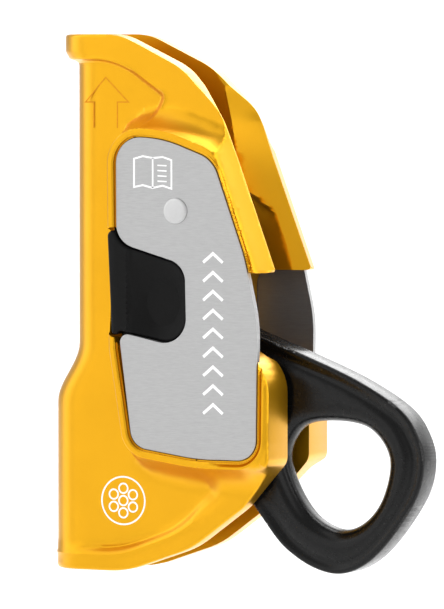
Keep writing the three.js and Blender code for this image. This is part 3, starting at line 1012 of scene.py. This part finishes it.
def make_button(word, side):
    body = f"{word}_thumb_button"
    face = rounded(BUTTON_FACE, 0.5)
    low = BUTTON_INNER + 2.2
    button = slab(body, face, low, BUTTON_OUTER, side, bevel=0.7, grid=0.8, top=button_top)
    add_piece(button, body, BLACK_PLASTIC, "black_plastic", f"{word}_button")
    name = f"{word}_button_flange"
    high = BUTTON_INNER + 2.3
    hole = [circle_loop(BUTTON_SPRING, SPRING_HOLE + more) for more in (-0.03, 0.03)]
    look = {"bevel": 0.5, "under": flange_underside, "guides": hole}
    flange = slab(name, BUTTON_FLANGE_LOOP, BUTTON_INNER, high, side, **look)
    add_piece(flange, body, BLACK_PLASTIC, "black_plastic")


def make_prints(word, side):
    """Thin marks: on the plate at its face, and on the body at its panel."""
    for name, lines, y, material, slot in (
        ("book_print", book_lines(), PLATE_OUTER, WHITE_PRINT, "brushed_plate"),
        ("chevron_print", chevrons(), PLATE_OUTER, WHITE_PRINT, "brushed_plate"),
        ("rope_print", rope_mark(), PANEL_HALF + 0.2, WHITE_PRINT, "gold_aluminium"),
        # The arrow's darker gold is painted shade for its engraved groove.
        ("engraved_arrow", direction_arrow(), PANEL_HALF, ENGRAVED_GOLD_PAINTED_SHADE, "gold_aluminium"),
    ):
        add_piece(print_object(f"{word}_{name}", lines, y, side), "clamp_body", material, slot)


for word, side in (("front", -1), ("rear", 1)):
    make_plate_and_rivet(word, side)
    make_button(word, side)
    make_prints(word, side)


# ---- The cam lever ------------------------------------------------------------------------


def cam_radius(degrees):
    """The cam's radius about its axle, for angles up from -X."""
    return mix(29.0, 16.5, smooth(-22, 62, degrees))


def lever_loop():
    """The lever's whole outline, clockwise, with the ribs of the cam's face."""
    top = np.array([[30, 10.3]])
    outside = spline([[42, 4.2]] + EYE_OUTSIDE, False, 8)
    neck = np.array([[40, -38], [22, -21], [16, -19]], float)
    cam = []
    for degrees in np.arange(-34, 62.1, 1.0):
        ribs = 0.28 * math.cos(2 * math.pi * degrees / 6) if -28 < degrees < 44 else 0
        radius = cam_radius(degrees) - 0.35 + ribs
        angle = math.radians(degrees)
        cam.append([AXLE[0] - radius * math.cos(angle), AXLE[1] + radius * math.sin(angle)])
    return np.vstack([top, outside, neck, np.array(cam)])


def make_cam_lever():
    """The forged lever: a thick cam, then an arm whose eye has a rounded inside and a grooved rim."""
    loop = lever_loop()
    eye = spline(EYE_INSIDE, True, 10)
    insets = (0.08, 0.25, 0.5, 0.8, 1.2, 1.8, 2.5, 3.2, 4.0, 4.8)
    guides = [parallel(loop, inset, 0.9) for inset in insets]
    guides += [parallel(eye, -inset, 0.9) for inset in insets]
    flat, faces = triangles(resampled(loop, 0.8), guides, 1.8, hole=resampled(eye, 0.9))
    outside = np.abs(depth(flat, loop))
    eyeside = np.abs(depth(flat, eye))
    ring = smooth(40, 54, flat[:, 0])
    half = mix(CAM_HALF, ARM_HALF, smooth(36, 40, flat[:, 0]))
    half -= rounding(outside, mix(0.5, 1.1, ring)) + rounding(eyeside, 4.6)
    groove = np.exp(-(((outside - 3.0) / 1.5) ** 2)) * smooth(2, 6, eyeside)
    half = np.maximum(half - ring * groove, 0.02)
    outer = np.stack([flat[:, 0], half, flat[:, 1]], 1)
    points, polygons = shell(flat, faces, outer, outer * [1, -1, 1], 1)
    return mesh_object("forged_cam_lever", points, polygons, angle=40, merge=0.002)


add_piece(make_cam_lever(), "cam_lever", BLACK_FORGED, "black_aluminium", "cam_arm")


# ---- CAD nodes that keep their shape --------------------------------------------------------


def dress(node, material):
    """Gives a CAD node a procedural material."""
    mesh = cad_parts[node].data
    mesh.materials.clear()
    mesh.materials.append(material)


for word in ("front", "rear"):
    # The links take the very dark steel: painted shade inside the channel.
    dress(f"{word}_link", LINK_STEEL_PAINTED_SHADE)
    for piece in ("cam_spring", "button_spring", "latch_pin"):
        dress(f"{word}_{piece}", PIN_STEEL)
    for piece in ("pivot_washer", "cam_washer", "cam_bush"):
        dress(f"{word}_{piece}", PALE_PLASTIC)
dress("cam_axle", PIN_STEEL)


# ---- Studio ---------------------------------------------------------------------------------


def make_stage():
    """A pale floor that curves up into a backdrop behind the clamp."""
    floor_z = cad_box[0][2] - 0.15
    near, bend, radius, wall_top = -4.0, 1.7, 0.8, 4.0
    profile = [(near, floor_z), (bend, floor_z)]
    for k in range(1, 13):
        angle = math.radians(90 * k / 12)
        profile.append((bend + radius * math.sin(angle), floor_z + radius * (1 - math.cos(angle))))
    profile.append((bend + radius, wall_top))
    points = [(x, y, z) for y, z in profile for x in (-5.0, 5.0)]
    faces = [[2 * i, 2 * i + 1, 2 * i + 3, 2 * i + 2] for i in range(len(profile) - 1)]
    mesh = bpy.data.meshes.new("pale_floor")
    mesh.from_pydata(points, [], faces)
    for polygon in mesh.polygons:
        polygon.use_smooth = True
    floor = bpy.data.objects.new("pale_floor", mesh)
    bpy.context.scene.collection.objects.link(floor)
    mesh.materials.append(new_material("studio_white", (0.93, 0.93, 0.93), 0, 0.9)[0])


def add_area(name, place, target, size, energy):
    """A soft rectangular light that the camera doesn't see."""
    light = bpy.data.lights.new(name, "AREA")
    light.shape = "RECTANGLE"
    light.size, light.size_y = size
    light.energy = energy
    made = bpy.data.objects.new(name, light)
    made.location = place
    made.rotation_euler = (Vector(target) - Vector(place)).to_track_quat("-Z", "Y").to_euler()
    made.visible_camera = False
    bpy.context.scene.collection.objects.link(made)


def make_lights():
    """An even world, softboxes round the clamp, and a light for the backdrop alone."""
    world = bpy.data.worlds.new("studio")
    world.use_nodes = True
    background = world.node_tree.nodes["Background"]
    background.inputs["Color"].default_value = (1, 1, 1, 1)
    background.inputs["Strength"].default_value = 0.55
    bpy.context.scene.world = world
    middle = (0.03, 0, 0.01)
    add_area("front_softbox", (-0.7, -1.35, 0.25), middle, (1.3, 1.4), 6)
    add_area("front_right_softbox", (1.0, -1.1, 0.3), middle, (0.7, 1.2), 3.5)
    add_area("left_softbox", (-1.35, -0.35, 0.25), middle, (0.9, 1.3), 5.5)
    add_area("top_softbox", (-0.5, -0.35, 0.95), middle, (1.2, 1.2), 5)
    add_area("rim_light", (0.25, 0.85, 0.6), middle, (1.2, 0.5), 7)
    add_area("right_softbox", (1.15, 0.1, 0.3), middle, (0.8, 1.1), 7)
    add_area("backdrop_light", (0.1, 0.6, 1.6), (0.0, 2.3, 0.3), (2.4, 0.6), 55)


def make_camera():
    """A long lens at the product shot's angle: 25 degrees towards +X, a little above level."""
    azimuth = math.radians(25)
    elevation = math.radians(2.3)
    far = 1.5
    view_width = 0.12  # what the picture's width spans at the object, in metres
    camera = bpy.data.cameras.new("camera")
    camera.sensor_width = 36
    camera.sensor_fit = "HORIZONTAL"
    camera.lens = camera.sensor_width * far / view_width
    camera.clip_end = 20
    made = bpy.data.objects.new("camera", camera)
    target = Vector((0.02584, 0.01205, 0.01068))
    level = math.cos(elevation)
    back = Vector((math.sin(azimuth) * level, -math.cos(azimuth) * level, math.sin(elevation)))
    made.location = target + back * far
    made.rotation_euler = (-back).to_track_quat("-Z", "Y").to_euler()
    bpy.context.scene.collection.objects.link(made)
    bpy.context.scene.camera = made


make_stage()
make_lights()
make_camera()
bpy.context.scene.view_settings.view_transform = "Standard"
